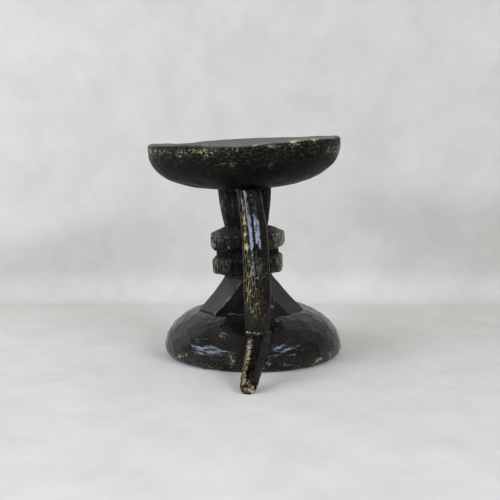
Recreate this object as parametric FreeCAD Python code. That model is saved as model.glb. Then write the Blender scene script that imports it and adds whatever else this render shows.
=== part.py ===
import FreeCAD, Part
import math
import os

# Carved wooden stool: a dished round seat on a tapered neck, two faceted collars with a
# groove between them, three splayed struts, a domed base, and one long prop leg that runs
# from under the seat to a toe on the floor in front of the base.
# Millimetres and degrees. The origin is the middle of the base on the floor, +Z is up,
# and the prop leg stands on the -Y side. The post and what it carries lean towards -X.

# Whole stool
rim_height = 317.0  # floor to the seat's rim, measured along the leaning post
lean_angle = 2.5
post_offset = -1.6  # foot of the leaning post from the base's axis, towards +X

# Seat
seat_diameter = 281.0
seat_thickness = 70.5
seat_fullness = 2.53  # power of the rounded outline under the seat, 2 is an ellipse
dish_depth = 13.0
rim_round = 5.0

# Domed base
base_diameter = 261.0
base_tuck = 11.0  # how far the base draws in from its widest line down to the floor
base_bulge_height = 14.0  # height of the widest line
shoulder_run = 85.0  # width of the dome's rounded shoulder
shoulder_rise = 59.5  # height of the shoulder above the widest line
shoulder_top_run = 35.0  # the rounding ends this far from its centre line
crown_run = 21.0  # gentle slope from there up to the crown's edge
crown_rise = 1.2
hollow_depth = 3.8  # the top is hollowed out inside the crown's edge
hollow_bevel = 3.5

# Centre post
neck_top_diameter = 78.4
neck_belly_diameter = 72.8  # half way down, a little fuller than a straight taper
neck_bottom_diameter = 63.0
core_diameter = 48.0  # plain shaft through the collars and between the struts
post_tenon_diameter = 34.0
seat_tenon_length = 26.0
base_tenon_length = 36.0

# Collars, a faceted block with a groove cut round it
collar_top_height = 190.0  # at the foot of the neck
upper_collar_sides = 9
upper_collar_turn = 12.0  # angle of one corner from the front, towards +X
upper_collar_diameter = 113.0  # across the corners
upper_collar_slope = 9.0  # fall of its top from the neck to the wall
upper_collar_wall = 16.0
upper_collar_undercut = 6.0  # height of the bevel that runs into the groove
groove_height = 10.5
groove_diameter = 92.0
lower_collar_sides = 8
lower_collar_turn = 18.0
lower_collar_diameter = 109.5
lower_collar_slope = 4.0  # fall of its top from the groove to the wall
lower_collar_wall = 18.5
lower_collar_undercut = 2.5
collar_edge_cut = 4.0  # width of the bevel under each collar
collar_shelf = 4.0  # flat step round the neck and round the groove

# Struts
strut_count = 3
strut_head_width = 50.0
strut_foot_width = 48.0
strut_head_radius = 27.0  # the sloping face starts this far from the post's axis
strut_head_drop = 7.5  # upright face between the collar and the slope
strut_foot_radius = 75.0
strut_foot_height = 70.5  # edge of the foot above the floor
strut_sag = 1.8  # hollow of the sloping face
flush_foot_radius = 80.0  # the front right strut runs out into the base without a step
flush_foot_height = 66.4
flush_sag = 2.0
strut_tenon_width = 14.0
strut_tenon_run = 20.0
strut_tenon_length = 12.0
strut_tenon_radius = 50.0  # distance of the tenon from the post's axis
strut_first_angle = 63.0  # angle of the first strut from the front, towards +X

# Prop leg, from the ankle up to the seat
leg_top_inset = 65.5  # centre of the leg from the seat's edge, under the seat
leg_bow = 1.6  # power of the curve between top and ankle, 1 is straight
leg_sway = 6.0  # sideways swing, to +X at the ankle and to -X at the top
leg_sway_power = 2.8
leg_top_width = 33.5
leg_calf_width = 37.5
leg_ankle_width = 32.5
leg_calf_share = 0.3  # share of the height where the leg is widest
leg_top_depth = 30.0
leg_ankle_depth = 27.0
leg_corner_cut = 11.5  # bevel that makes the section eight-sided
leg_tenon_diameter = 16.0
leg_tenon_length = 20.0

# Foot of the prop leg
ankle_height = 56.0
ankle_ledge = 3.0  # the foot stands this far in front of the leg
toe_reach = 236.0  # tip of the toe from the stool's axis
toe_height = 13.0
toe_sway = -8.3
toe_width = 25.0
foot_thickness = 27.0
foot_corner_cut = 9.0  # bevel along the foot, less towards the toe
toe_thickness = 19.0
toe_tip_length = 9.0  # the toe narrows over this length
toe_tip_share = 0.72  # size of the section at the very tip
ankle_tenon_diameter = 8.0
ankle_tenon_length = 9.0
ankle_tenon_setback = 3.5  # wood in front of the tenon

# Fits
tenon_clearance = 0.15  # on the radius or on each side of a tenon
tenon_end_gap = 1.0

# Sizes that follow from those above
origin = FreeCAD.Vector(0, 0, 0)
up = FreeCAD.Vector(0, 0, 1)
seat_radius = seat_diameter / 2
base_radius = base_diameter / 2
core_radius = core_diameter / 2
seat_under_height = rim_height - seat_thickness
upper_collar_edge = collar_top_height - upper_collar_slope
upper_collar_bottom = upper_collar_edge - upper_collar_wall - upper_collar_undercut
lower_collar_top = upper_collar_bottom - groove_height
lower_collar_edge = lower_collar_top - lower_collar_slope
lower_collar_bottom = lower_collar_edge - lower_collar_wall - lower_collar_undercut
shoulder_centre = base_radius - shoulder_run
shoulder_top_radius = shoulder_centre + shoulder_top_run
crown_radius = shoulder_top_radius - crown_run
leg_top_reach = seat_radius - leg_top_inset
overlap = 6.0  # how far blanks run into each other before they are scribed


def shoulder_height(radius):
    share = (radius - shoulder_centre) / shoulder_run
    return base_bulge_height + shoulder_rise * math.sqrt(1 - share * share)


def shoulder_radius(height):
    share = (height - base_bulge_height) / shoulder_rise
    return shoulder_centre + shoulder_run * math.sqrt(1 - share * share)


shoulder_top = shoulder_height(shoulder_top_radius)
crown_height = shoulder_top + crown_rise
hollow_height = crown_height - hollow_depth
ankle_reach = shoulder_radius(ankle_height) + leg_ankle_depth / 2


def point(radius, height):
    return FreeCAD.Vector(radius, 0, height)


def line(start, end):
    return Part.LineSegment(start, end).toShape()


def arc(start, middle, end):
    return Part.Arc(start, middle, end).toShape()


def ellipse_quarter(centre, run, rise, first_angle, last_angle):
    # Part of an upright ellipse in the XZ plane; angles are in radians from +X towards +Z.
    major, minor = max(run, rise), min(run, rise)
    turn = 0.0 if run >= rise else math.pi / 2
    ellipse = Part.Ellipse(origin, major, minor)
    edge = Part.ArcOfEllipse(ellipse, first_angle - turn, last_angle - turn).toShape()
    edge.rotate(origin, up, math.degrees(turn))
    edge.rotate(origin, FreeCAD.Vector(1, 0, 0), 90)
    edge.translate(centre)
    return edge


def turned(edges):
    # Solid of revolution about the Z axis from a closed outline in the XZ plane.
    face = Part.Face(Part.Wire(Part.__sortEdges__(edges)))
    return face.revolve(origin, up, 360)


def tilted(shape):
    return shape.rotated(origin, FreeCAD.Vector(0, 1, 0), -lean_angle)


def leaning(shape):
    return tilted(shape).translated(FreeCAD.Vector(post_offset, 0, 0))


def cylinder(diameter, bottom, top, x=0.0, y=0.0):
    return Part.makeCylinder(diameter / 2, top - bottom, FreeCAD.Vector(x, y, bottom))


def polygon(points):
    return Part.makePolygon(points + [points[0]])


def eight_sided(centre, across, through, width, depth, cut):
    # Rectangle with its corners cut off, in the plane of the unit vectors across and through.
    half_width, half_depth = width / 2, depth / 2
    corners = [
        (half_width - cut, -half_depth),
        (half_width, -half_depth + cut),
        (half_width, half_depth - cut),
        (half_width - cut, half_depth),
        (cut - half_width, half_depth),
        (-half_width, half_depth - cut),
        (-half_width, cut - half_depth),
        (cut - half_width, -half_depth),
    ]
    return polygon([centre + across * a + through * b for a, b in corners])


def seat_blank():
    # The dished seat before its sockets are cut.
    widest = rim_height - rim_round
    depth = widest - seat_under_height
    steps = 14
    outline = []
    for step in range(steps + 1):
        angle = math.pi / 2 * step / steps
        radius = seat_radius * math.sin(angle) ** (2 / seat_fullness)
        drop = depth * math.cos(angle) ** (2 / seat_fullness)
        outline.append(point(radius, widest - drop))
    under = Part.BSplineCurve()
    under.interpolate(outline)
    inner_rim = point(seat_radius - rim_round, rim_height)
    bend = rim_round * (1 - math.sqrt(0.5))
    dish_bottom = point(0, rim_height - dish_depth)
    half_radius = (seat_radius - rim_round) / 2
    curve_radius = ((seat_radius - rim_round) ** 2 + dish_depth**2) / (2 * dish_depth)
    half_rise = curve_radius - math.sqrt(curve_radius**2 - half_radius**2)
    edges = [
        under.toShape(),
        arc(outline[-1], point(seat_radius - bend, rim_height - bend), inner_rim),
        arc(inner_rim, point(half_radius, rim_height - dish_depth + half_rise), dish_bottom),
        line(dish_bottom, outline[0]),
    ]
    return tilted(turned(edges))


def base_blank():
    # The domed base before its mortises are cut.
    footprint = base_radius - base_tuck
    last_angle = math.acos(shoulder_top_run / shoulder_run)
    widest = point(shoulder_centre, base_bulge_height)
    shoulder = ellipse_quarter(widest, shoulder_run, shoulder_rise, 0, last_angle)
    tuck_centre = point(footprint, base_bulge_height)
    tuck = ellipse_quarter(tuck_centre, base_tuck, base_bulge_height, -math.pi / 2, 0)
    crown_edge = point(crown_radius, crown_height)
    hollow_edge = point(crown_radius - hollow_bevel, hollow_height)
    hollow_middle = point(0, hollow_height)
    edges = [
        line(origin, point(footprint, 0)),
        tuck,
        shoulder,
        line(point(shoulder_top_radius, shoulder_top), crown_edge),
        line(crown_edge, hollow_edge),
        line(hollow_edge, hollow_middle),
        line(hollow_middle, origin),
    ]
    return turned(edges)


def post_tenons(growth, end_gap):
    # Round tenons at the two ends of the post, or the sockets for them when grown.
    diameter = post_tenon_diameter + 2 * growth
    seat_end = seat_under_height + seat_tenon_length + end_gap
    base_end = hollow_height - base_tenon_length - end_gap
    into_seat = cylinder(diameter, seat_under_height - overlap, seat_end)
    into_base = cylinder(diameter, base_end, hollow_height + overlap)
    return leaning(into_seat), leaning(into_base)


def centre_post(seat, base):
    neck_middle = (seat_under_height + collar_top_height) / 2
    neck_top = point(neck_top_diameter / 2, seat_under_height)
    neck_bottom = point(neck_bottom_diameter / 2, collar_top_height)
    above = seat_under_height + overlap
    below = hollow_height - overlap
    edges = [
        line(point(0, below), point(core_radius, below)),
        line(point(core_radius, below), point(core_radius, collar_top_height)),
        line(point(core_radius, collar_top_height), neck_bottom),
        arc(neck_bottom, point(neck_belly_diameter / 2, neck_middle), neck_top),
        line(neck_top, point(neck_top_diameter / 2, above)),
        line(point(neck_top_diameter / 2, above), point(0, above)),
        line(point(0, above), point(0, below)),
    ]
    body = leaning(turned(edges)).cut(seat).cut(base)
    into_seat, into_base = post_tenons(0, 0)
    return body.fuse(into_seat).fuse(into_base).removeSplitter()


def faceted_disc(sides, turn, rings):
    # Many-sided disc threaded on the core of the post, from rings of (radius, height).
    wires = []
    for radius, height in rings:
        corners = []
        for side in range(sides):
            angle = math.radians(turn + 360 * side / sides)
            corners.append(FreeCAD.Vector(radius * math.sin(angle), -radius * math.cos(angle), height))
        wires.append(polygon(corners))
    disc = Part.makeLoft(wires, True, True)
    return leaning(disc.cut(core_hole(rings[0][1], rings[-1][1])))


def upper_collar():
    radius = upper_collar_diameter / 2
    rings = [
        (radius - collar_edge_cut, upper_collar_bottom),
        (radius, upper_collar_bottom + upper_collar_undercut),
        (radius, upper_collar_edge),
        (neck_bottom_diameter / 2 + collar_shelf, collar_top_height),
    ]
    return faceted_disc(upper_collar_sides, upper_collar_turn, rings)


def lower_collar():
    radius = lower_collar_diameter / 2
    rings = [
        (radius - collar_edge_cut, lower_collar_bottom),
        (radius, lower_collar_bottom + lower_collar_undercut),
        (radius, lower_collar_edge),
        (groove_diameter / 2 + collar_shelf, lower_collar_top),
    ]
    return faceted_disc(lower_collar_sides, lower_collar_turn, rings)


def core_hole(bottom, top):
    return cylinder(core_diameter + 2 * tenon_clearance, bottom - overlap, top + overlap)


def collar_spacer():
    # The bottom of the groove between the two collars.
    ring = cylinder(groove_diameter, lower_collar_top, upper_collar_bottom)
    return leaning(ring.cut(core_hole(lower_collar_top, upper_collar_bottom)))


def turned_to(shape, angle):
    # From the +X side round to an angle from the front, towards +X.
    return leaning(shape.rotated(origin, up, angle - 90))


def strut_tenon(angle, growth, end_gap):
    # Flat tenon under a strut, or the mortise for it when grown.
    run = strut_tenon_run + 2 * growth
    width = strut_tenon_width + 2 * growth
    bottom = hollow_height - strut_tenon_length - end_gap
    corner = FreeCAD.Vector(strut_tenon_radius - run / 2, -width / 2, bottom)
    tenon = Part.makeBox(run, width, hollow_height + overlap - bottom, corner)
    return turned_to(tenon, angle)


def strut(angle, foot_radius, foot_height, sag, base):
    # Splayed bracket that stands on the base and leans against the post under the lower collar.
    below = base_bulge_height
    # The base stands upright, so the lean is taken off the height of the foot.
    foot_side = foot_radius * math.sin(math.radians(angle))
    leaning_height = foot_height - foot_side * math.tan(math.radians(lean_angle))
    face_top = point(strut_head_radius, lower_collar_bottom - strut_head_drop)
    face_foot = point(foot_radius, leaning_height)
    face_slope = face_foot - face_top
    inward = FreeCAD.Vector(face_slope.z, 0, -face_slope.x).normalize()
    face_middle = (face_top + face_foot) / 2 + inward * sag
    head_middle = point(0, lower_collar_bottom)
    head_edge = point(strut_head_radius, lower_collar_bottom)
    outline = [
        line(point(0, below), head_middle),
        line(head_middle, head_edge),
        line(head_edge, face_top),
        arc(face_top, face_middle, face_foot),
        line(face_foot, point(foot_radius, below)),
        line(point(foot_radius, below), point(0, below)),
    ]
    head_half = strut_head_width / 2
    foot_half = strut_foot_width / 2
    side = Part.Face(Part.Wire(outline))
    side.translate(FreeCAD.Vector(0, -head_half, 0))
    slab = side.extrude(FreeCAD.Vector(0, strut_head_width, 0))
    # Seen from above the strut narrows outwards, and its inner end is a wedge beside its neighbours.
    wedge_length = head_half / math.tan(math.pi / strut_count)
    plan = [
        (0, 0),
        (wedge_length, -head_half),
        (strut_head_radius, -head_half),
        (foot_radius, -foot_half),
        (foot_radius, foot_half),
        (strut_head_radius, head_half),
        (wedge_length, head_half),
    ]
    plan_face = Part.Face(polygon([FreeCAD.Vector(x, y, 0) for x, y in plan]))
    fin = slab.common(plan_face.extrude(FreeCAD.Vector(0, 0, rim_height)))
    fin = turned_to(fin.cut(core_hole(below, lower_collar_bottom)), angle).cut(base)
    return fin.fuse(strut_tenon(angle, 0, 0)).removeSplitter()


def leg_centre(share):
    # Middle of the prop leg; share 0 is the ankle and 1 is the underside of the seat.
    reach = ankle_reach + (leg_top_reach - ankle_reach) * share**leg_bow
    sway = leg_sway * (1 - 2 * share**leg_sway_power)
    height = ankle_height + (seat_under_height - ankle_height) * share
    return FreeCAD.Vector(sway, -reach, height)


def leg_width(share):
    if share < leg_calf_share:
        rise = math.sin(math.pi / 2 * share / leg_calf_share)
        return leg_ankle_width + (leg_calf_width - leg_ankle_width) * rise
    fall = (share - leg_calf_share) / (1 - leg_calf_share)
    return leg_calf_width + (leg_top_width - leg_calf_width) * fall


def leg_tenon(growth, end_gap):
    top = leg_centre(1)
    diameter = leg_tenon_diameter + 2 * growth
    return cylinder(diameter, top.z - overlap, top.z + overlap + leg_tenon_length + end_gap, top.x, top.y)


def ankle_tenon(growth, end_gap):
    ankle = leg_centre(0)
    front = ankle.y - leg_ankle_depth / 2
    place = front + ankle_tenon_setback + ankle_tenon_diameter / 2
    diameter = ankle_tenon_diameter + 2 * growth
    bottom = ankle_height - ankle_tenon_length - end_gap
    return cylinder(diameter, bottom, ankle_height + overlap, ankle.x, place)


def prop_leg(seat, base):
    across = FreeCAD.Vector(1, 0, 0)
    through = FreeCAD.Vector(0, 1, 0)
    sections = []
    for share in (0, 0.12, 0.3, 0.55, 0.8, 1.0, 1.12):
        depth = leg_ankle_depth + (leg_top_depth - leg_ankle_depth) * min(share, 1)
        width = leg_width(min(share, 1))
        sections.append(eight_sided(leg_centre(share), across, through, width, depth, leg_corner_cut))
    leg = Part.makeLoft(sections, True, False).cut(seat).cut(base)
    return leg.fuse(leg_tenon(0, 0)).fuse(ankle_tenon(0, 0)).removeSplitter()


def prop_foot(base):
    # A bar that slopes from the ankle to the toe, scribed to the dome behind it.
    ankle = leg_centre(0)
    top_start = FreeCAD.Vector(ankle.x, ankle.y - leg_ankle_depth / 2 - ankle_ledge, ankle_height)
    top_end = FreeCAD.Vector(toe_sway, -toe_reach, toe_height)
    along = top_end - top_start
    length = along.Length
    along.normalize()
    across = along.cross(up)
    across.normalize()
    normal = across.cross(along)
    stations = [
        (-foot_thickness * 2, leg_ankle_width, foot_thickness, 1.0),
        (0, leg_ankle_width, foot_thickness, 1.0),
        (length - toe_tip_length, toe_width, toe_thickness, 1.0),
        (length, toe_width, toe_thickness, toe_tip_share),
    ]
    sections = []
    for place, width, thickness, share in stations:
        centre = top_start + along * place - normal * (thickness / 2)
        cut = foot_corner_cut * thickness / foot_thickness * share
        sections.append(eight_sided(centre, across, normal, width * share, thickness * share, cut))
    bar = Part.makeLoft(sections, True, True)
    size = 2 * toe_reach
    above = Part.makeBox(2 * size, 2 * size, size, FreeCAD.Vector(-size, -size, ankle_height))
    floor = Part.makeBox(2 * size, 2 * size, size, FreeCAD.Vector(-size, -size, -size))
    behind = Part.makeBox(2 * size, size, size, FreeCAD.Vector(-size, ankle.y + leg_ankle_depth / 2, 0))
    foot = bar.cut(above).cut(floor).cut(behind).cut(base)
    return foot.cut(ankle_tenon(tenon_clearance, tenon_end_gap))


def build():
    seat = seat_blank()
    base = base_blank()
    seat_socket, base_socket = post_tenons(tenon_clearance, tenon_end_gap)
    stepped_foot = (strut_foot_radius, strut_foot_height, strut_sag)
    strut_feet = {
        "front_right_strut": (flush_foot_radius, flush_foot_height, flush_sag),
        "rear_strut": stepped_foot,
        "front_left_strut": stepped_foot,
    }
    strut_angles = {
        name: strut_first_angle + 360 * turn / strut_count for turn, name in enumerate(strut_feet)
    }
    finished_base = base.cut(base_socket)
    for angle in strut_angles.values():
        finished_base = finished_base.cut(strut_tenon(angle, tenon_clearance, tenon_end_gap))
    pieces = {
        "seat_dish": seat.cut(seat_socket).cut(leg_tenon(tenon_clearance, tenon_end_gap)),
        "centre_post": centre_post(seat, base),
        "upper_collar": upper_collar(),
        "collar_spacer": collar_spacer(),
        "lower_collar": lower_collar(),
        "domed_base": finished_base,
        "prop_leg": prop_leg(seat, base),
        "prop_foot": prop_foot(base),
    }
    for name, angle in strut_angles.items():
        pieces[name] = strut(angle, *strut_feet[name], base)
    return pieces


os.makedirs("parts", exist_ok=True)
for node, shape in build().items():
    shape.exportStep("parts/" + node + ".step")
    print(node, len(shape.Solids), "solid", shape.isValid(), round(shape.Volume), "mm3")
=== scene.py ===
import math

import bpy
import numpy as np
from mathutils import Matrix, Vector


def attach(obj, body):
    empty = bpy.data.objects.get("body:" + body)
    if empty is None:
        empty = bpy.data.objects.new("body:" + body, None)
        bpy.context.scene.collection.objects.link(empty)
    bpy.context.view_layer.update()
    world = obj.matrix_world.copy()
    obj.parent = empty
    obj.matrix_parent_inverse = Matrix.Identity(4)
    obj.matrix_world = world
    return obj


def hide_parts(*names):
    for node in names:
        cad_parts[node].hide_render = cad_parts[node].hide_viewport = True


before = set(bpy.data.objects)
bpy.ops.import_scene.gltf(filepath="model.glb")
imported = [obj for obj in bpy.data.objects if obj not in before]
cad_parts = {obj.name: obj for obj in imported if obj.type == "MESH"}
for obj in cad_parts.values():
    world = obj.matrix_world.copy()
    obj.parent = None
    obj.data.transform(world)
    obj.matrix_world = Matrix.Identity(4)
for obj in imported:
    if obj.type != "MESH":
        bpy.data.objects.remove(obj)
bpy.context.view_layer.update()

mm = 0.001  # lengths in the dictionaries are in mm, angles in degrees
weld = 0.02 * mm  # points nearer to each other than this become one
sliver = 0.15 * mm  # the same along a cut, where thin faces arise
onPlane = 0.001 * mm  # a point this near to a cutting plane lies on it
near = 0.1 * mm  # and this near to a wanted place is there
levelFace = 0.9  # a face is level where its normal is upright by this much
lean = math.radians(2.5)  # the post and all it carries lean to the left
postOffset = (-1.6, 0, 0)  # foot of the leaning post from the base's axis, mm


# Helpers for modelling

def deselectAll():
    if bpy.context.object and bpy.context.object.mode != "OBJECT":
        bpy.ops.object.mode_set(mode="OBJECT")
    bpy.ops.object.select_all(action="DESELECT")


def makeActive(piece):
    deselectAll()
    piece.select_set(True)
    bpy.context.view_layer.objects.active = piece


def namePiece(name):
    piece = bpy.context.object
    piece.name = name
    piece.data.name = name
    return piece


def settle(piece, turn=(0, 0, 0), move=(0, 0, 0)):
    # turn the piece about the origin, move it by mm, and leave its object there unturned
    makeActive(piece)
    piece.rotation_euler = turn
    piece.location += Vector(move) * mm
    bpy.ops.object.transform_apply(location=True, rotation=True, scale=True)


def cleanUp(piece):
    makeActive(piece)
    bpy.ops.object.mode_set(mode="EDIT")
    bpy.ops.mesh.select_all(action="SELECT")
    bpy.ops.mesh.remove_doubles(threshold=weld)
    bpy.ops.mesh.normals_make_consistent(inside=False)
    bpy.ops.object.mode_set(mode="OBJECT")


def applied(piece, kind, **settings):
    makeActive(piece)
    modifier = piece.modifiers.new(kind.title(), kind)
    for name, value in settings.items():
        setattr(modifier, name, value)
    bpy.ops.object.modifier_apply(modifier=modifier.name)


def selectParts(piece, kind, wanted):
    # leaves edit mode on, with the wanted vertices, edges or faces selected
    makeActive(piece)
    bpy.ops.object.mode_set(mode="EDIT")
    bpy.ops.mesh.select_mode(type=kind)
    bpy.ops.mesh.select_all(action="DESELECT")
    bpy.ops.object.mode_set(mode="OBJECT")
    mesh = piece.data
    for part in {"VERT": mesh.vertices, "EDGE": mesh.edges, "FACE": mesh.polygons}[kind]:
        part.select = wanted(part)
    bpy.ops.object.mode_set(mode="EDIT")


def drawOutline(name, outline):
    # one vertex extruded from point to point in the upright plane; points are (radius, height)
    deselectAll()
    bpy.ops.mesh.primitive_plane_add(size=mm, location=(0, 0, 0))
    piece = namePiece(name)
    bpy.ops.object.mode_set(mode="EDIT")
    bpy.ops.mesh.select_mode(type="VERT")
    bpy.ops.mesh.merge(type="CENTER")
    place = Vector((0, 0, 0))
    for step, (radius, height) in enumerate(outline):
        target = Vector((radius * mm, 0, height * mm))
        if step == 0:
            bpy.ops.transform.translate(value=target - place)
        else:
            bpy.ops.mesh.extrude_region_move(TRANSFORM_OT_translate={"value": target - place})
        place = target
    bpy.ops.mesh.select_all(action="SELECT")
    return piece


def turnedPiece(name, outline, steps):
    piece = drawOutline(name, outline)
    bpy.ops.mesh.spin(steps=steps, angle=2 * math.pi, center=(0, 0, 0), axis=(0, 0, 1))
    cleanUp(piece)
    return piece


def slabPiece(name, outline, width):
    # a closed outline filled and drawn out sideways
    piece = drawOutline(name, outline + outline[:1])
    bpy.ops.mesh.remove_doubles(threshold=weld)
    bpy.ops.mesh.edge_face_add()
    bpy.ops.transform.translate(value=(0, -width * mm / 2, 0))
    bpy.ops.mesh.extrude_region_move(TRANSFORM_OT_translate={"value": (0, width * mm, 0)})
    cleanUp(piece)
    return piece


def curve(start, end, count, shape):
    # points of a curve, from a shape that turns a number into a point
    return [shape(start + (end - start) * step / count) for step in range(count + 1)]


def arch(height, share):
    return 4 * height * share * (1 - share)  # nothing at both ends, the full height halfway


def press(piece, place, move, size):
    # pull the surface round a place softly, with proportional editing
    target = Vector(place) * mm
    nearest = min(piece.data.vertices, key=lambda vertex: (vertex.co - target).length).index
    selectParts(piece, "VERT", lambda vertex: vertex.index == nearest)
    bpy.ops.transform.translate(
        value=Vector(move) * mm, use_proportional_edit=True, proportional_edit_falloff="SMOOTH",
        proportional_size=size * mm)
    bpy.ops.object.mode_set(mode="OBJECT")


def cutFlat(piece, height, way):
    # cut away what lies past a level plane, merge slivers along the cut, and close it with a face
    makeActive(piece)
    bpy.ops.object.mode_set(mode="EDIT")
    bpy.ops.mesh.select_all(action="SELECT")
    bpy.ops.mesh.bisect(
        plane_co=(0, 0, height * mm), plane_no=(0, 0, way), clear_outer=True, threshold=onPlane)
    bpy.ops.mesh.select_all(action="SELECT")
    bpy.ops.mesh.remove_doubles(threshold=sliver)
    bpy.ops.mesh.select_mode(type="EDGE")
    bpy.ops.mesh.select_all(action="DESELECT")
    bpy.ops.mesh.select_non_manifold()
    bpy.ops.mesh.edge_face_add()
    bpy.ops.object.mode_set(mode="OBJECT")


def roundEdges(piece, look):
    applied(
        piece, "BEVEL", width=look["edgeRound"] * mm, segments=look["edgeSteps"],
        limit_method="ANGLE", angle_limit=math.radians(look["edgeAngle"]))


def evenSkin(piece, pitch, softening):
    # rebuild the surface as an even net of small faces, fine enough for tool marks
    applied(piece, "REMESH", mode="VOXEL", voxel_size=pitch * mm)
    applied(piece, "SMOOTH", factor=0.5, iterations=softening)


patternMean = {"CLOUDS": 0.5, "VORONOI": 0.25}  # so that marks neither swell nor shrink a piece
mostWear = 1.5  # more would make no difference to the eye


def toolMarks(piece, layers):
    # each layer: pattern, width and height of one mark in mm, its length as a multiple of the width
    for pattern, width, height, stretch in layers:
        deselectAll()
        bpy.ops.object.empty_add(location=(0, 0, 0))
        axes = bpy.context.object
        axes.scale = (1, 1, stretch)
        texture = bpy.data.textures.new(piece.name + pattern.title(), pattern)
        texture.noise_scale = width * mm
        if pattern == "VORONOI":
            texture.distance_metric = "DISTANCE_SQUARED"
        applied(
            piece, "DISPLACE", texture=texture, texture_coords="OBJECT", texture_coords_object=axes,
            strength=height * mm, mid_level=patternMean[pattern])
        bpy.data.objects.remove(axes)


def wearMap(piece, look):
    # how far the dark skin is rubbed off, with painted light on some pieces: arrises, found by how
    # far they stand out, then the lines (start, end, radius, amount) and spots (place, size, amount)
    # named for the piece, some of which paint highlights and lit sides
    mesh = piece.data
    count = len(mesh.vertices)
    places = np.empty(count * 3)
    normals = np.empty(count * 3)
    ends = np.empty(len(mesh.edges) * 2, dtype=int)
    mesh.vertices.foreach_get("co", places)
    mesh.vertices.foreach_get("normal", normals)
    mesh.edges.foreach_get("vertices", ends)
    places = places.reshape(-1, 3) / mm
    normals = normals.reshape(-1, 3)
    both = np.concatenate((ends[0::2], ends[1::2]))
    other = np.concatenate((ends[1::2], ends[0::2]))
    neighbours = np.bincount(both, minlength=count)
    soft = places.copy()
    for _ in range(look["wearReach"]):
        for axis in range(3):
            around = np.bincount(both, weights=soft[other, axis], minlength=count) / neighbours
            soft[:, axis] = (soft[:, axis] + around) / 2
    bulge = ((places - soft) * normals).sum(1)
    wear = np.clip((bulge - look["wearFrom"]) / look["wearDepth"], 0, 1) * look["wearAmount"]
    for start, end, size, amount in look.get("wornLines", []):
        along = np.array(end) - np.array(start)
        share = np.clip((places - np.array(start)) @ along / (along @ along), 0, 1)[:, None]
        away = np.linalg.norm(places - np.array(start) - share * along, axis=1)
        wear += amount * np.exp(-((away / size) ** 2))
    for place, size, amount in look.get("wornSpots", []):
        spread = (places - np.array(place)) / np.array(size)
        wear += amount * np.exp(-(spread**2).sum(1))
    attribute = mesh.attributes.new("wear", "FLOAT", "POINT")
    attribute.data.foreach_set("value", np.clip(wear, 0, mostWear).astype(np.float32))


def finished(piece, material, node):
    piece.data.materials.clear()
    piece.data.materials.append(material)
    makeActive(piece)
    bpy.ops.object.shade_smooth()
    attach(piece, "root")
    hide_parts(node)
    print("made", piece.name, len(piece.data.polygons), "faces")


# Materials

def colour(code):
    # sRGB hex to linear
    channels = [int(code[place:place + 2], 16) / 255 for place in (0, 2, 4)]
    linear = [c / 12.92 if c <= 0.04045 else ((c + 0.055) / 1.055) ** 2.4 for c in channels]
    return (*linear, 1)


def perMetre(size):
    return 1 / (size * mm)  # pattern scale for a feature of this many mm


def addNode(tree, kind, settings=None, links=None):
    # settings are the node's own properties, the values of its inputs, or a colour ramp's stops
    node = tree.nodes.new(kind)
    for name, value in (settings or {}).items():
        if name == "stops":
            for element, (place, code) in zip(node.color_ramp.elements, value):
                element.position = place
                element.color = colour(code)
        elif isinstance(name, int) or name in node.inputs:
            node.inputs[name].default_value = value
        else:
            setattr(node, name, value)
    for name, source in (links or {}).items():
        tree.links.new(source, node.inputs[name])
    return node


noises = {  # space, octaves, and how strong the fine octaves are
    "grain": ("grainAxes", 4.0, 0.6), "blotch": ("evenAxes", 5.0, 0.62),
    "speck": ("evenAxes", 4.0, 0.7), "fleck": ("grainAxes", 3.0, 0.6),
}


def woodPatterns(tree, look):
    # grain, blotches, specks and flecks as noise, veins as the edges of cells, wear from the mesh
    place = addNode(tree, "ShaderNodeTexCoord").outputs["Object"]
    spaces = {"evenAxes": place}
    for axes in ("grainAxes", "veinAxes"):
        spaces[axes] = addNode(
            tree, "ShaderNodeMapping", {"Scale": look[axes]}, {"Vector": place}).outputs["Vector"]
    patterns = {}
    for pattern, (axes, detail, roughness) in noises.items():
        patterns[pattern] = addNode(
            tree, "ShaderNodeTexNoise",
            {"Scale": perMetre(look[pattern + "Size"]), "Detail": detail, "Roughness": roughness},
            {"Vector": spaces[axes]}).outputs["Fac"]
    patterns["vein"] = addNode(
        tree, "ShaderNodeTexVoronoi",
        {"feature": "DISTANCE_TO_EDGE", "Scale": perMetre(look["veinSize"])},
        {"Vector": spaces["veinAxes"]}).outputs["Distance"]
    patterns["wear"] = addNode(
        tree, "ShaderNodeAttribute", {"attribute_name": "wear"}).outputs["Fac"]
    return patterns


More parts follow.
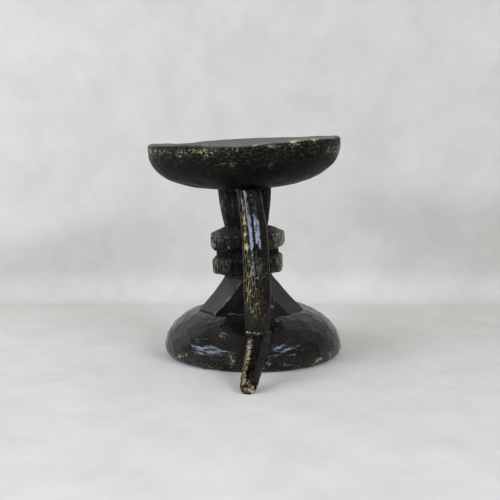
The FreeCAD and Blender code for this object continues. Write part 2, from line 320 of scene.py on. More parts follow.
def rubbedBare(tree, look, patterns):
    # bare where wear and painted light, specks, grain and blotches together pass a level
    level = patterns["wear"]
    for pattern in ("speck", "grain", "blotch"):
        level = addNode(
            tree, "ShaderNodeMath", {"operation": "MULTIPLY_ADD", 1: look[pattern + "Share"]},
            {0: patterns[pattern], 2: level}).outputs[0]
    start = look["wornFrom"]
    rubbed = addNode(
        tree, "ShaderNodeMapRange",
        {"interpolation_type": "SMOOTHSTEP", "From Min": start, "From Max": look["wornTo"]},
        {"Value": level}).outputs["Result"]
    # thin veins, only where it is a little worn
    thin = addNode(
        tree, "ShaderNodeMapRange", {"From Min": look["veinWidth"], "From Max": look["veinCore"]},
        {"Value": patterns["vein"]}).outputs["Result"]
    veined = addNode(
        tree, "ShaderNodeMapRange",
        {"From Min": start - look["veinSpan"], "From Max": start, "To Max": look["veinShare"]},
        {"Value": level}).outputs["Result"]
    lines = addNode(
        tree, "ShaderNodeMath", {"operation": "MULTIPLY"}, {0: thin, 1: veined}).outputs[0]
    worn = addNode(
        tree, "ShaderNodeMath", {"operation": "MAXIMUM"}, {0: rubbed, 1: lines}).outputs[0]
    # brown where it is just rubbed through, paler the more it is worn, and where the wear map paints
    # a highlight
    depth = addNode(
        tree, "ShaderNodeMapRange", {"From Min": start, "From Max": start + look["paleSpan"]},
        {"Value": level}).outputs["Result"]
    pale = addNode(
        tree, "ShaderNodeMath", {"operation": "MAXIMUM"}, {0: depth, 1: lines}).outputs[0]
    bare = addNode(
        tree, "ShaderNodeValToRGB",
        {"stops": [(look["paleFrom"], look["bareBrown"]), (1.0, look["bareOchre"])]},
        {"Fac": pale}).outputs["Color"]
    return worn, bare


def darkSkin(tree, look, patterns):
    # blotches of black and brown, and pale flecks, more of them round worn places
    dark = addNode(
        tree, "ShaderNodeValToRGB",
        {"stops": [(look["blackTo"], look["darkest"]), (look["brownFrom"], look["brown"])]},
        {"Fac": patterns["blotch"]}).outputs["Color"]
    few, many = look["flecks"]
    share = addNode(
        tree, "ShaderNodeMapRange", {"From Max": look["fleckWear"], "To Min": few, "To Max": many},
        {"Value": patterns["wear"]}).outputs["Result"]
    flecked = addNode(
        tree, "ShaderNodeMapRange", {"From Min": look["fleckFrom"], "From Max": look["fleckTo"]},
        {"Value": patterns["fleck"], "To Max": share}).outputs["Result"]
    return addNode(
        tree, "ShaderNodeMix", {"data_type": "RGBA", 7: colour(look["fleckColour"])},
        {0: flecked, 6: dark}).outputs[2]


def dustAndSheen(tree, look, patterns):
    # pale patches on what faces up: dust, and a painted sheen of the light from above on the seat
    # and the lit strut
    normal = addNode(tree, "ShaderNodeNewGeometry").outputs["Normal"]
    facing = addNode(tree, "ShaderNodeSeparateXYZ", None, {0: normal}).outputs["Z"]
    upward = addNode(
        tree, "ShaderNodeMapRange",
        {"From Min": look["dustSlope"], "From Max": 1.0, "To Max": look["dust"]},
        {"Value": facing}).outputs["Result"]
    low, high = look["dustBlotch"]
    thin, thick = look["dustPatches"]
    patchy = addNode(
        tree, "ShaderNodeMapRange",
        {"From Min": low, "From Max": high, "To Min": thin, "To Max": thick},
        {"Value": patterns["blotch"]}).outputs["Result"]
    return addNode(
        tree, "ShaderNodeMath", {"operation": "MULTIPLY"}, {0: upward, 1: patchy}).outputs[0]


def patinatedHardwood(name, look):
    # dense hardwood blackened by smoke, hands and wax: nearly black with a soft gloss, specks and
    # veins of ochre bare wood where it is rubbed, and a grey bloom on what faces up, of dust and of
    # painted sheen
    material = bpy.data.materials.new(name)
    material.use_nodes = True
    tree = material.node_tree
    shader = tree.nodes["Principled BSDF"]
    patterns = woodPatterns(tree, look)
    worn, bare = rubbedBare(tree, look, patterns)
    wood = addNode(
        tree, "ShaderNodeMix", {"data_type": "RGBA"},
        {0: worn, 6: darkSkin(tree, look, patterns), 7: bare}).outputs[2]
    dustedAndSheened = addNode(
        tree, "ShaderNodeMix", {"data_type": "RGBA", 7: colour(look["dustColour"])},
        {0: dustAndSheen(tree, look, patterns), 6: wood}).outputs[2]
    tree.links.new(dustedAndSheened, shader.inputs["Base Color"])
    low, high = look["glossBlotch"]
    shiny, dull = look["gloss"]
    gloss = addNode(
        tree, "ShaderNodeMapRange",
        {"From Min": low, "From Max": high, "To Min": shiny, "To Max": dull},
        {"Value": patterns["blotch"]}).outputs["Result"]
    rough = addNode(
        tree, "ShaderNodeMix", {"data_type": "FLOAT", 3: look["wornRough"]}, {0: worn, 2: gloss})
    tree.links.new(rough.outputs[0], shader.inputs["Roughness"])
    fine = addNode(
        tree, "ShaderNodeBump", {"Strength": look["bump"], "Distance": look["grainDepth"] * mm},
        {"Height": patterns["grain"]}).outputs["Normal"]
    pitted = addNode(
        tree, "ShaderNodeBump", {"Strength": look["bump"], "Distance": look["speckDepth"] * mm},
        {"Height": patterns["speck"], "Normal": fine}).outputs["Normal"]
    tree.links.new(pitted, shader.inputs["Normal"])
    shader.inputs["Specular IOR Level"].default_value = look["shine"]
    shader.inputs["IOR"].default_value = look["refraction"]
    return material


blackWood = {  # sizes in mm; the grain is drawn several times as wide as it is, so that it shows
    "grainAxes": (1, 1, 0.6), "grainSize": 2.2, "blotchSize": 24, "speckSize": 4.0,
    "speckShare": 0.9, "grainShare": 0.4, "blotchShare": 0.5,  # what each adds to the wear
    "wornFrom": 1.13, "wornTo": 1.2, "paleFrom": 0.1, "paleSpan": 0.25,
    "bareBrown": "4a3c20", "bareOchre": "c2bda0",
    "veinAxes": (1, 1, 1), "veinSize": 3.4, "veinWidth": 0.1, "veinCore": 0.01,  # shares of a cell
    "veinSpan": 0.2, "veinShare": 0.0,
    "darkest": "050404", "blackTo": 0.35, "brown": "1f1a13", "brownFrom": 0.72,
    "fleckSize": 3.2, "flecks": (0.14, 0.8), "fleckWear": 0.25, "fleckFrom": 0.5, "fleckTo": 0.68,
    "fleckColour": "565040",
    "dust": 0.03, "dustColour": "8c8982", "dustSlope": 0.3, "dustBlotch": (0.36, 0.62),
    "dustPatches": (0.72, 1.05),
    "gloss": (0.42, 0.62), "glossBlotch": (0.35, 0.65), "wornRough": 0.5,  # roughness, skin and bare
    "shine": 0.12, "refraction": 1.5, "bump": 0.5, "grainDepth": 0.5, "speckDepth": 0.4,
}

# oiled and sat on: satin, with a grey bloom where it faces up, of dust and of painted sheen of the
# light on the top
oiledHardwood = patinatedHardwood("oiledAdzedHardwood", {
    **blackWood, "grainAxes": (0.55, 0.55, 1.2), "speckSize": 3.2,
    "brown": "17130e", "bareBrown": "4d4020", "bareOchre": "c2b993",
    "dust": 0.55, "dustColour": "958f83", "shine": 0.07})
# adzed and waxed thick: glossy hollows and pale flecks
waxedHardwood = patinatedHardwood("waxedAdzedHardwood", {
    **blackWood, "grainAxes": (1, 1, 2.2), "grainSize": 9, "brown": "17130d",
    "fleckSize": 2.6, "flecks": (0.08, 0.85), "fleckColour": "655f4a",
    "gloss": (0.06, 0.22), "shine": 0.22, "bump": 0.65})
# polished along the grain by hands: glossy, with a crackle of thin ochre veins
gripHardwood = patinatedHardwood("handRubbedHardwood", {
    **blackWood, "grainAxes": (1, 1, 0.1), "wornFrom": 1.3, "wornTo": 1.36, "paleSpan": 0.2,
    "veinAxes": (1, 1, 0.16), "veinSize": 3.5, "veinWidth": 0.09, "veinSpan": 0.38, "veinShare": 1.0,
    "brown": "15120d", "bareBrown": "624a26", "bareOchre": "b8a778", "flecks": (0.1, 0.3),
    "dust": 0.0, "gloss": (0.06, 0.2), "shine": 0.2, "bump": 0.25})
# scuffed by shoes: brown and ochre, half glossy, its palest colour also a painted glint on the toe
scuffedHardwood = patinatedHardwood("scuffedBrownHardwood", {
    **blackWood, "grainAxes": (1, 0.3, 1), "speckShare": 1.4,
    "wornFrom": 1.38, "wornTo": 1.48, "paleSpan": 0.5, "bareBrown": "5c4328", "bareOchre": "d6cba6",
    "dust": 0.0, "gloss": (0.14, 0.3), "shine": 0.1, "bump": 0.4})
# left from the knife without wax: matt, with dry brown streaks
dryHardwood = patinatedHardwood("dryKnifeCutHardwood", {
    **blackWood, "grainAxes": (1, 1, 0.15), "grainSize": 3.0, "speckShare": 0.6, "grainShare": 0.7,
    "wornFrom": 0.95, "wornTo": 1.4, "brown": "14110d", "bareBrown": "4d4237", "bareOchre": "877c6e",
    "dust": 0.06, "gloss": (0.6, 0.75), "wornRough": 0.75, "shine": 0.05})
# lit copy for the strut that faces the brighter lamp: matt and grey with more dust, its paler tone
# painted light
litStrutHardwood = patinatedHardwood("litGreyHardwood", {
    **blackWood, "grainAxes": (1, 1, 0.3), "darkest": "0a0908", "brown": "211e1a",
    "bareBrown": "3f3a31", "bareOchre": "77726a", "dust": 0.3})
# shaded copy for the other struts: darker and browner, painted shade
shadedStrutHardwood = patinatedHardwood("shadedGreyHardwood", {
    **blackWood, "grainAxes": (1, 1, 0.3), "brown": "272218",
    "bareBrown": "3f3524", "bareOchre": "8a8062", "dust": 0.12})
print("made materials")


# Seat

seat = {
    "diameter": 281, "rimHeight": 317, "thickness": 70.5, "fullness": 2.53, "dish": 13,
    "rimRound": 4, "steps": 320, "underSteps": 60, "rimSteps": 8, "dishSteps": 50,
    "rimWear": [  # place, move and reach
        ((-15, -139, 310), (0, 0, -4.5), 95), ((-105, 92, 309), (0, 0, -2.5), 90),
    ],
    "marks": [("CLOUDS", 60, 2.4, 1), ("VORONOI", 24, 0.9, 0.7), ("CLOUDS", 7, 0.35, 1)],
    "wearReach": 20, "wearFrom": 0.6, "wearDepth": 0.5, "wearAmount": 0.1,
    "wornLines": [
        # these lines make the front rim paler: ochre wear on the right, and a painted highlight
        # where the rounded rim catches the light from above
        ((0, -137.5, 313), (51, -122.5, 318.5), 3.5, 0.26),
        ((51, -122.5, 318.5), (81, -101, 320.5), 3.5, 0.36),
        ((81, -101, 320.5), (110, -61, 322), 3.5, 0.36),
        ((-15, -138.5, 312.2), (-64, -127, 312.4), 3, 0.16),
        ((-64, -127, 312.4), (-114, -96, 312.3), 3, 0.16),
    ],
    "wornSpots": [
        ((0, 0, 304), (400, 400, 9), 0.1), ((-99, -105, 301), (45, 45, 9), 0.1),
        ((-65, -125, 305), (38, 30, 7), 0.12), ((22, -134, 311), (20, 12, 4), 0.25),
        ((57, -122, 313), (12, 12, 4), 0.16), ((84, -106, 312), (20, 20, 5), 0.16),
        # (-152, -30, 292) and (124, -20, 302) are a painted sheen on the seat's left and right ends
        ((110, -80, 306), (14, 14, 9), 0.12), ((-152, -30, 292), (18, 90, 22), 0.2),
        ((124, -20, 302), (14, 90, 20), 0.2), ((22, -128, 285), (7, 9, 5), 0.2),
        ((-32, -134, 288), (20, 15, 4), 0.17),
    ],
}


def makeSeat():
    radius = seat["diameter"] / 2
    widest = seat["rimHeight"] - seat["rimRound"]
    depth = seat["thickness"] - seat["rimRound"]
    power = 2 / seat["fullness"]
    inner = radius - seat["rimRound"]
    under = curve(0, math.pi / 2, seat["underSteps"], lambda a: (
        radius * math.sin(a) ** power, widest - depth * max(math.cos(a), 0) ** power))
    rim = curve(0, math.pi / 2, seat["rimSteps"], lambda a: (
        inner + seat["rimRound"] * math.cos(a), widest + seat["rimRound"] * math.sin(a)))
    dish = curve(inner, 0, seat["dishSteps"], lambda r: (
        r, seat["rimHeight"] - seat["dish"] * (1 - (r / inner) ** 2)))
    piece = turnedPiece("seatDish", under + rim[1:] + dish[1:], seat["steps"])
    settle(piece, (0, -lean, 0))
    for place, move, size in seat["rimWear"]:
        press(piece, place, move, size)
    toolMarks(piece, seat["marks"])
    wearMap(piece, seat)
    finished(piece, oiledHardwood, "seat_dish")


# Post: the neck, and the shaft that goes down through the collars

post = {
    "topDiameter": 78.4, "bellyDiameter": 73.2, "bottomDiameter": 63, "core": 48,
    "neckTop": 252, "neckBottom": 189, "foot": 64, "steps": 160, "shaftSteps": 40, "neckSteps": 40,
    "marks": [("CLOUDS", 40, 2.0, 1), ("VORONOI", 13, 1.0, 4), ("CLOUDS", 4, 0.4, 5)],
    "wearReach": 12, "wearFrom": 0.25, "wearDepth": 0.4, "wearAmount": 0.1,
    # the spots make the neck paler at its left and right sides: painted light where it faces the
    # lamps, over faint dry streaks
    "wornSpots": [((30, 0, 220), (14, 40, 40), 0.22), ((-50, 0, 220), (14, 40, 40), 0.16)],
}


def makePost():
    core = post["core"] / 2
    top, belly, bottom = (post[part + "Diameter"] / 2 for part in ("top", "belly", "bottom"))
    span = post["neckTop"] - post["neckBottom"]
    swell = belly - (top + bottom) / 2
    shaft = curve(post["foot"], post["neckBottom"], post["shaftSteps"], lambda h: (core, h))
    neck = curve(0, 1, post["neckSteps"], lambda share: (
        bottom + (top - bottom) * share + arch(swell, share), post["neckBottom"] + span * share))
    outline = [(0, post["foot"])] + shaft + neck + [(0, post["neckTop"])]
    piece = turnedPiece("centrePost", outline, post["steps"])
    settle(piece, (0, -lean, 0), postOffset)
    toolMarks(piece, post["marks"])
    wearMap(piece, post)
    finished(piece, dryHardwood, "centre_post")


# Collars, and the groove between them

collar = {
    "core": 48, "edgeRound": 1.0, "edgeSteps": 2, "edgeAngle": 15, "pitch": 1.0, "softening": 2,
    "marks": [("CLOUDS", 20, 1.6, 1), ("VORONOI", 7, 0.8, 3), ("CLOUDS", 3, 0.4, 4)],
    "wearReach": 16, "wearFrom": 0.3, "wearDepth": 0.3, "wearAmount": 0.2,
}
upperCollar = {
    "sides": 9, "turn": 12, "radius": 56.5, "bottom": 159, "undercut": 6, "wall": 16,
    "slope": 9, "innerTop": 35.5, "innerBottom": 52.5,
    "dents": [((0, -55, 178), (0, 2, -3.5), 28)],  # place, move and reach
    # the spots make the left and right sides paler, the right more: painted light where the sides
    # face the lamps, over dry streaks
    "wornSpots": [((-62, 0, 172), (24, 60, 60), 0.28), ((52, 0, 172), (26, 60, 60), 0.46)],
}
lowerCollar = {
    "sides": 8, "turn": 18, "radius": 54.75, "bottom": 123.5, "undercut": 2.5, "wall": 18.5,
    "slope": 4, "innerTop": 50, "innerBottom": 50.5,
    "dents": [((-20, -50, 144), (0, 1, -1.5), 22)],
    # the spots make the left and right sides paler, the right more: painted light where the sides
    # face the lamps, over dry streaks
    "wornSpots": [((-62, 0, 135), (24, 60, 60), 0.25), ((52, 0, 135), (26, 60, 60), 0.34)],
}
groove = {
    "radius": 46, "bottom": 147, "top": 160, "steps": 150, "wallSteps": 10, "wearAmount": 0.0,
    "marks": [("VORONOI", 9, 1.0, 2), ("CLOUDS", 4, 0.4, 1)],
}


def makeCollar(name, node, look):
    low = look["bottom"] + look["undercut"]
    deselectAll()
    bpy.ops.mesh.primitive_cylinder_add(
        vertices=look["sides"], radius=look["radius"] * mm, depth=look["wall"] * mm,
        location=(0, 0, (low + look["wall"] / 2) * mm),
        rotation=(0, 0, math.radians(180 + look["turn"])))
    piece = namePiece(name)
    bpy.ops.object.transform_apply(location=True, rotation=True, scale=True)
    ends = ((1, look["slope"], look["innerTop"]), (-1, look["undercut"], look["innerBottom"]))
    for way, height, inner in ends:  # draw out the top and the bottom, and make them smaller
        selectParts(piece, "FACE", lambda face: face.normal.z * way > levelFace)
        rise = (0, 0, way * height * mm)
        bpy.ops.mesh.extrude_region_move(TRANSFORM_OT_translate={"value": rise})
        shrink = inner / look["radius"]
        bpy.ops.transform.resize(value=(shrink, shrink, 1), center_override=(0, 0, 0))
        bpy.ops.object.mode_set(mode="OBJECT")
    settle(piece, (0, -lean, 0), postOffset)
    roundEdges(piece, collar)
    evenSkin(piece, collar["pitch"], collar["softening"])
    for place, move, size in look["dents"]:
        press(piece, place, move, size)
    toolMarks(piece, collar["marks"])
    wearMap(piece, {**collar, **look})
    finished(piece, dryHardwood, node)


def makeGroove():
    core = collar["core"] / 2
    wall = curve(
        groove["bottom"], groove["top"], groove["wallSteps"], lambda h: (groove["radius"], h))
    outline = [(core, groove["bottom"])] + wall + [(core, groove["top"]), (core, groove["bottom"])]
    piece = turnedPiece("collarSpacer", outline, groove["steps"])
    settle(piece, (0, -lean, 0), postOffset)
    toolMarks(piece, groove["marks"])
    wearMap(piece, {**collar, **groove})
    finished(piece, dryHardwood, "collar_spacer")


# Struts

strut = {
    "headWidth": 50, "footWidth": 48, "headRadius": 27, "faceTop": 116, "top": 125, "inner": 14,
    "below": 63, "faceSteps": 6, "uprightSag": 1.4,  # the sag is square to a face that slants
    "edgeRound": 1.2, "edgeSteps": 2, "edgeAngle": 25, "pitch": 1.2, "softening": 3,
    "marks": [("CLOUDS", 30, 1.6, 1), ("VORONOI", 14, 0.6, 2), ("CLOUDS", 4, 0.3, 2)],
    "wearReach": 16, "wearFrom": 0.3, "wearDepth": 0.3, "wearAmount": 0.1,
}
frontRightStrut = {  # runs out into the base without a step
    "angle": 63, "footRadius": 80, "footHeight": 66.4, "sag": 2.0,
    "wornSpots": [((27, -45, 79), (5, 7, 8), 0.36)],
}
rearStrut = {"angle": 183, "footRadius": 75, "footHeight": 70.5, "sag": 1.8}
frontLeftStrut = {**rearStrut, "angle": 303, "wearAmount": 0.35}


def makeStrut(name, node, look, material):
    angle = math.radians(look["angle"])
    head, foot = strut["headRadius"], look["footRadius"]
    footHeight = look["footHeight"] - foot * math.sin(angle) * math.tan(lean)
    sag = look["sag"] * strut["uprightSag"]
    drop = footHeight - strut["faceTop"]
    face = curve(0, 1, strut["faceSteps"], lambda share: (
        head + (foot - head) * share, strut["faceTop"] + drop * share - arch(sag, share)))
    outline = [
        (strut["inner"], strut["below"]), (strut["inner"], strut["top"]), (head, strut["top"]),
        *face, (foot, strut["below"])]
    piece = slabPiece(name, outline, strut["headWidth"])
    narrowest = strut["footWidth"] / strut["headWidth"]
    for radius, _ in face[1:]:  # the slab narrows towards its foot
        narrowing = 1 + (narrowest - 1) * (radius - head) / (foot - head)
        selectParts(piece, "VERT", lambda vertex: abs(vertex.co.x - radius * mm) < near)
        bpy.ops.transform.resize(value=(1, narrowing, 1), center_override=(0, 0, 0))
        bpy.ops.object.mode_set(mode="OBJECT")
    settle(piece, (0, 0, angle - math.pi / 2))
    settle(piece, (0, -lean, 0), postOffset)
    roundEdges(piece, strut)
    evenSkin(piece, strut["pitch"], strut["softening"])
    toolMarks(piece, strut["marks"])
    wearMap(piece, {**strut, **look})
    finished(piece, material, node)


# Base

base = {
    "diameter": 261, "tuck": 11, "bulge": 14, "run": 85, "rise": 59.5, "shoulderTop": 80.5,
    "crownRadius": 59.5, "crown": 69.4, "hollow": 65.6, "hollowBevel": 3.5, "spare": 2, "steps": 320,
    "underSteps": 6, "tuckSteps": 10, "shoulderSteps": 48, "crownSteps": 12, "hollowSteps": 24,
    "marks": [
        ("CLOUDS", 50, 1.6, 1), ("VORONOI", 22, 1.6, 0.45), ("VORONOI", 9, 0.55, 0.4),
        ("CLOUDS", 6, 0.4, 0.6),
    ],
    "wearReach": 20, "wearFrom": 0.6, "wearDepth": 0.5, "wearAmount": 0.2,
    "wornSpots": [
        ((0, 0, 14), (400, 400, 10), 0.07), ((-43, -104, 49), (9, 9, 5), 0.25),
        ((-29, -126, 21), (5, 6, 8), 0.25), ((112, -64, 14), (18, 18, 6), 0.2),
        ((88, -96, 9), (20, 20, 4), 0.15), ((-95, -89, 15), (18, 18, 6), 0.15),
        ((-90, -69, 48), (22, 22, 14), 0.12), ((-25, -56, 69), (22, 6, 3), 0.2),
        ((35, -62, 68), (14, 6, 3), 0.2), ((38, -82, 64), (12, 7, 4), 0.28),
    ],
}


def makeBase():
    widest = base["diameter"] / 2
    foot = widest - base["tuck"]
    centre = widest - base["run"]
    under = curve(0, foot, base["underSteps"], lambda r: (r, -base["spare"]))
    tuck = curve(-math.pi / 2, 0, base["tuckSteps"], lambda a: (
        foot + base["tuck"] * math.cos(a), base["bulge"] * (1 + math.sin(a))))
    shoulderEnd = math.acos((base["shoulderTop"] - centre) / base["run"])
    shoulder = curve(0, shoulderEnd, base["shoulderSteps"], lambda a: (
        centre + base["run"] * math.cos(a), base["bulge"] + base["rise"] * math.sin(a)))
    edge, height = shoulder[-1]
    crown = curve(0, 1, base["crownSteps"], lambda share: (
        edge + (base["crownRadius"] - edge) * share, height + (base["crown"] - height) * share))
    hollowEdge = base["crownRadius"] - base["hollowBevel"]
    hollow = curve(hollowEdge, 0, base["hollowSteps"], lambda r: (r, base["hollow"]))
    outline = under + tuck + shoulder[1:] + crown[1:] + hollow
    piece = turnedPiece("domedBase", outline, base["steps"])
    toolMarks(piece, base["marks"])
    cutFlat(piece, 0, -1)
    wearMap(piece, base)
    finished(piece, waxedHardwood, "domed_base")


# Prop leg and its foot

leg = {
    "ankle": 56, "seatUnder": 246.5, "topReach": 75, "ankleReach": 119.2, "bow": 1.6,
    "sway": 6, "swayPower": 2.8, "topWidth": 33.5, "calfWidth": 37.5, "ankleWidth": 32.5,
    "calfShare": 0.3, "topDepth": 30, "ankleDepth": 27, "cornerCut": 11.5,
    "arrises": ((-1, 3.0), (1, 4.6)),  # side and width of the front ones, rubbed flat
    "edgeRound": 1.5, "edgeSteps": 2, "edgeAngle": 25, "pitch": 1.1, "softening": 3,
    "stations": 20, "sunk": 5, "spare": 10,
    "marks": [("CLOUDS", 26, 1.0, 1.5), ("VORONOI", 10, 0.7, 5), ("CLOUDS", 3, 0.3, 6)],
    "wearReach": 14, "wearFrom": 0.3, "wearDepth": 0.3, "wearAmount": 0.15,
    "wornLines": [
        ((-16.5, -88, 238), (-10.5, -108, 172), 4, 0.48),
        ((-9.5, -108, 172), (-7, -123, 100), 6, 0.23), ((0, -117, 158), (1, -131, 90), 10, 0.22),
        ((-10, -121, 57), (1, -132.5, 57), 1.4, 0.56), ((1, -132.5, 57), (8, -132.5, 57), 1.4, 0.36),
        ((8, -132.5, 57), (22, -121, 57), 1.4, 0.3),
    ],
}
foot = {
    "ledge": 3, "toeReach": 236, "toeHeight": 13, "toeSway": -8.3, "thickness": 27,
    "toeThickness": 19, "tip": 9, "tipShare": 0.72, "behind": 30, "cornerCut": 9,
    "edgeRound": 3.6, "edgeSteps": 4, "edgeAngle": 25, "pitch": 1.1, "softening": 4, "stations": 9,
    "marks": [("CLOUDS", 20, 1.2, 1), ("VORONOI", 9, 0.7, 1), ("CLOUDS", 4, 0.3, 1)],
    "wearReach": 14, "wearFrom": 0.3, "wearDepth": 0.3, "wearAmount": 0.15,
    "wornLines": [
        # the second line is a painted highlight: a pale glint along the top of the toe
        ((-6, -138, 50), (-15, -222, 17), 6, 0.4), ((-6, -218, 22), (-5, -231, 14), 2.4, 1.2),
    ],
    "wornSpots": [((-4, -236, 9), (13, 8, 9), 0.52), ((-12.5, -226, 16), (4, 5, 4), 0.5)],
}


def legCentre(share):
    reach = leg["ankleReach"] + (leg["topReach"] - leg["ankleReach"]) * share ** leg["bow"]
    sway = leg["sway"] * (1 - 2 * share ** leg["swayPower"])
    return Vector((sway, -reach, leg["ankle"] + (leg["seatUnder"] - leg["ankle"]) * share)) * mm


def legWidth(share):
    calf = leg["calfShare"]
    if share < calf:
        swell = math.sin(math.pi / 2 * share / calf)
        return leg["ankleWidth"] + (leg["calfWidth"] - leg["ankleWidth"]) * swell
    return leg["calfWidth"] + (leg["topWidth"] - leg["calfWidth"]) * (share - calf) / (1 - calf)


def onLegFront(piece, edge, side):
    # the front arris on that side, which runs the leg's length
    frontFrom = -leg["ankleDepth"] / 4
    leastRise = 1  # edges that rise less run round the leg
    ends = [piece.data.vertices[index].co / mm for index in edge.vertices]
    shares = [max((end.z - leg["ankle"]) / (leg["seatUnder"] - leg["ankle"]), 0) for end in ends]
    away = [end - legCentre(share) / mm for end, share in zip(ends, shares)]
    onSide = all(place.y < frontFrom and place.x * side > 0 for place in away)
    return onSide and abs(ends[0].z - ends[1].z) > leastRise


def makeLeg():
    deselectAll()
    sunk = Vector((0, 0, (leg["sunk"] + leg["spare"]) * mm))
    bpy.ops.mesh.primitive_plane_add(size=mm, location=legCentre(0) - sunk)
    piece = namePiece("propLeg")
    bpy.ops.object.mode_set(mode="EDIT")
    width, depth = leg["ankleWidth"], leg["ankleDepth"]
    bpy.ops.transform.resize(value=(width, depth, 1), center_override=legCentre(0) - sunk)
    bpy.ops.mesh.bevel(offset=leg["cornerCut"] * mm, affect="VERTICES", segments=1)
    bpy.ops.mesh.extrude_region_move(TRANSFORM_OT_translate={"value": sunk})
    step = 1 / leg["stations"]
    share = 0
    while share < 1 + step / 2:  # one station more than the seat's underside, to run into the seat
        share += step
        centre = legCentre(share)
        climb = centre - legCentre(share - step)
        bpy.ops.mesh.extrude_region_move(TRANSFORM_OT_translate={"value": climb})
        nextWidth = legWidth(min(share, 1))
        nextDepth = leg["ankleDepth"] + (leg["topDepth"] - leg["ankleDepth"]) * min(share, 1)
        bpy.ops.transform.resize(
            value=(nextWidth / width, nextDepth / depth, 1), center_override=centre)
        width, depth = nextWidth, nextDepth
    settle(piece)
    cleanUp(piece)
    for side, width in leg["arrises"]:
        selectParts(piece, "EDGE", lambda edge: onLegFront(piece, edge, side))
        bpy.ops.mesh.bevel(offset=width * mm, segments=1, affect="EDGES")
        bpy.ops.object.mode_set(mode="OBJECT")
    roundEdges(piece, leg)
    evenSkin(piece, leg["pitch"], leg["softening"])
    toolMarks(piece, leg["marks"])
    cutFlat(piece, leg["ankle"] - leg["sunk"], -1)
    wearMap(piece, leg)
    finished(piece, gripHardwood, "prop_leg")


def makeFoot():
    ankle = legCentre(0)
    start = Vector((ankle.x, ankle.y - (leg["ankleDepth"] / 2 + foot["ledge"]) * mm, ankle.z))
    end = Vector((foot["toeSway"], -foot["toeReach"], foot["toeHeight"])) * mm
    length = (end - start).length
    along = (end - start).normalized()
    normal = along.cross(Vector((0, 0, 1))).normalized().cross(along)
    slope = math.atan2(along.z, math.hypot(along.x, along.y))
    yaw = math.atan2(along.x, -along.y)
    bar = length - foot["tip"] * mm
    stations = curve(0, 1, foot["stations"], lambda share: (
        bar * share, foot["thickness"] + (foot["toeThickness"] - foot["thickness"]) * share))
    stations.append((length, foot["toeThickness"] * foot["tipShare"]))
    thickness = foot["thickness"]
    centre = start - along * foot["behind"] * mm - normal * thickness * mm / 2
    deselectAll()
    bpy.ops.mesh.primitive_plane_add(
        size=mm, location=centre, rotation=(math.pi / 2 + slope, 0, yaw))
    piece = namePiece("propFoot")
    piece.scale = (leg["ankleWidth"], thickness, 1)
    bpy.ops.object.transform_apply(location=True, rotation=True, scale=True)
    bpy.ops.object.mode_set(mode="EDIT")
    bpy.ops.mesh.bevel(offset=foot["cornerCut"] * mm, affect="VERTICES", segments=1)
    for place, nextThickness in stations:
        full = max(nextThickness, foot["toeThickness"])
        nextCentre = start + along * place - normal * full * mm / 2
        bpy.ops.mesh.extrude_region_move(TRANSFORM_OT_translate={"value": nextCentre - centre})
        shrink = nextThickness / thickness
        bpy.ops.transform.resize(value=(shrink, shrink, shrink), center_override=nextCentre)
        centre, thickness = nextCentre, nextThickness
    cleanUp(piece)
    roundEdges(piece, foot)
    evenSkin(piece, foot["pitch"], foot["softening"])
    toolMarks(piece, foot["marks"])
    cutFlat(piece, leg["ankle"], 1)
    cutFlat(piece, 0, -1)
    wearMap(piece, foot)
    finished(piece, scuffedHardwood, "prop_foot")


# Floor and wall

stage = {
    "halfWidth": 6000, "front": -9000, "wall": 450, "height": 3000,
    "edgeRound": 60, "edgeSteps": 12, "edgeAngle": 30,  # the cove between floor and wall
    "cloud": 90, "dab": 22, "weave": 2.5,  # a weave is finer, and is drawn coarse enough to show
    "shares": {"dab": 0.35, "weave": 0.25}, "detail": 3.0, "paleFrom": 0.55, "rough": 0.9,
    "floorPaint": ("d9d0c3", "e4dbcf"), "wallPaint": ("c8c0b4", "d3cbbf"),
}


def paintedCanvas():
    # matt pale paint brushed on canvas: soft clouds of tone, small dabs and a fine weave; clear from
    # the back
    material = bpy.data.materials.new("paintedCanvas")
    material.use_nodes = True
    tree = material.node_tree
    shader = tree.nodes["Principled BSDF"]
    place = addNode(tree, "ShaderNodeTexCoord").outputs["Object"]
    tones = {}
    for size in ("cloud", "dab", "weave"):
        tones[size] = addNode(
            tree, "ShaderNodeTexNoise", {"Scale": perMetre(stage[size]), "Detail": stage["detail"]},
            {"Vector": place}).outputs["Fac"]
    brushed = tones["cloud"]
    for size, share in stage["shares"].items():
        brushed = addNode(
            tree, "ShaderNodeMath", {"operation": "MULTIPLY_ADD", 1: share},
            {0: tones[size], 2: brushed}).outputs[0]
    paints = {}
    for paint in ("floorPaint", "wallPaint"):
        dull, pale = stage[paint]
        paints[paint] = addNode(
            tree, "ShaderNodeValToRGB", {"stops": [(stage["paleFrom"], dull), (1.0, pale)]},
            {"Fac": brushed}).outputs["Color"]
    height = addNode(tree, "ShaderNodeSeparateXYZ", None, {0: place}).outputs["Z"]
    upright = addNode(
        tree, "ShaderNodeMapRange", {"From Min": 0.0, "From Max": stage["edgeRound"] * mm},
        {"Value": height}).outputs["Result"]
    tone = addNode(
        tree, "ShaderNodeMix", {"data_type": "RGBA"},
        {0: upright, 6: paints["floorPaint"], 7: paints["wallPaint"]}).outputs[2]
    tree.links.new(tone, shader.inputs["Base Color"])
    shader.inputs["Roughness"].default_value = stage["rough"]
    behind = addNode(tree, "ShaderNodeNewGeometry").outputs["Backfacing"]
    clear = addNode(tree, "ShaderNodeBsdfTransparent").outputs[0]
    oneSided = addNode(
        tree, "ShaderNodeMixShader", None, {0: behind, 1: shader.outputs[0], 2: clear}).outputs[0]
    tree.links.new(oneSided, tree.nodes["Material Output"].inputs["Surface"])
    return material


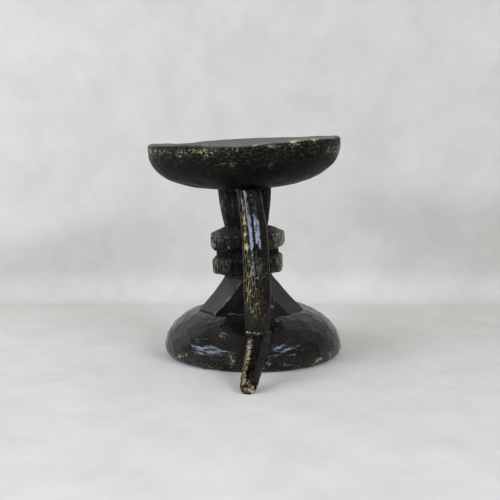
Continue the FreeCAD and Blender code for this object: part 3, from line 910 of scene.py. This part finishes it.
def makeStage():
    deselectAll()
    bpy.ops.mesh.primitive_plane_add(size=2 * mm, location=(0, 0, 0))
    floor = namePiece("floorAndWall")
    bpy.ops.object.mode_set(mode="EDIT")
    depth = stage["wall"] - stage["front"]
    bpy.ops.transform.resize(value=(stage["halfWidth"], depth / 2, 1), center_override=(0, 0, 0))
    bpy.ops.transform.translate(value=(0, (stage["wall"] - depth / 2) * mm, 0))
    selectParts(floor, "EDGE", lambda edge: all(
        floor.data.vertices[index].co.y > 0 for index in edge.vertices))
    bpy.ops.mesh.extrude_region_move(TRANSFORM_OT_translate={"value": (0, 0, stage["height"] * mm)})
    settle(floor)
    roundEdges(floor, stage)
    bpy.ops.object.shade_smooth()
    floor.data.materials.append(paintedCanvas())
    print("made floor and wall")


# Light and camera

light = {
    "aim": (0, 0, 0.15), "distance": 2.6,  # in m
    "tint": "d5e6ff", "sky": "f4f4f2", "room": 0.43,
    "windows": {  # degrees from the front towards +X, degrees up, width and height in m, power in W
        "leftWindow": (-58, 18.5, 2.2, 0.34, 66),
        "rightWindow": (42, 26, 1.4, 0.3, 38),
    },
}
camera = {"place": (-4.5, -1470.6, 345), "down": 7.365, "lens": 72, "sensor": 36}


def makeLight():
    aim = Vector(light["aim"])
    for name, (turn, rise, width, height, power) in light["windows"].items():
        side, lift = math.radians(turn), math.radians(rise)
        way = Vector((
            math.cos(lift) * math.sin(side), -math.cos(lift) * math.cos(side), math.sin(lift)))
        deselectAll()
        bpy.ops.object.light_add(type="AREA", location=aim + way * light["distance"])
        lamp = bpy.context.object
        lamp.name = name
        lamp.rotation_euler = (-way).to_track_quat("-Z", "Y").to_euler()
        lamp.data.shape = "RECTANGLE"
        lamp.data.size = width
        lamp.data.size_y = height
        lamp.data.energy = power
        lamp.data.color = colour(light["tint"])[:3]
    world = bpy.data.worlds.new("paleRoom")
    world.use_nodes = True
    sky = world.node_tree.nodes["Background"]
    sky.inputs["Color"].default_value = colour(light["sky"])
    sky.inputs["Strength"].default_value = light["room"]
    bpy.context.scene.world = world
    print("made light")


def makeCamera():
    deselectAll()
    bpy.ops.object.camera_add(
        location=Vector(camera["place"]) * mm, rotation=(math.radians(90 - camera["down"]), 0, 0))
    eye = bpy.context.object
    eye.data.lens = camera["lens"]
    eye.data.sensor_width = camera["sensor"]
    bpy.context.scene.camera = eye
    bpy.context.scene.view_settings.view_transform = "Standard"
    print("made camera")


makeSeat()
makePost()
makeCollar("upperCollar", "upper_collar", upperCollar)
makeGroove()
makeCollar("lowerCollar", "lower_collar", lowerCollar)
makeStrut("frontRightStrut", "front_right_strut", frontRightStrut, shadedStrutHardwood)
makeStrut("rearStrut", "rear_strut", rearStrut, shadedStrutHardwood)
makeStrut("frontLeftStrut", "front_left_strut", frontLeftStrut, litStrutHardwood)
makeBase()
makeLeg()
makeFoot()
makeStage()
makeLight()
makeCamera()
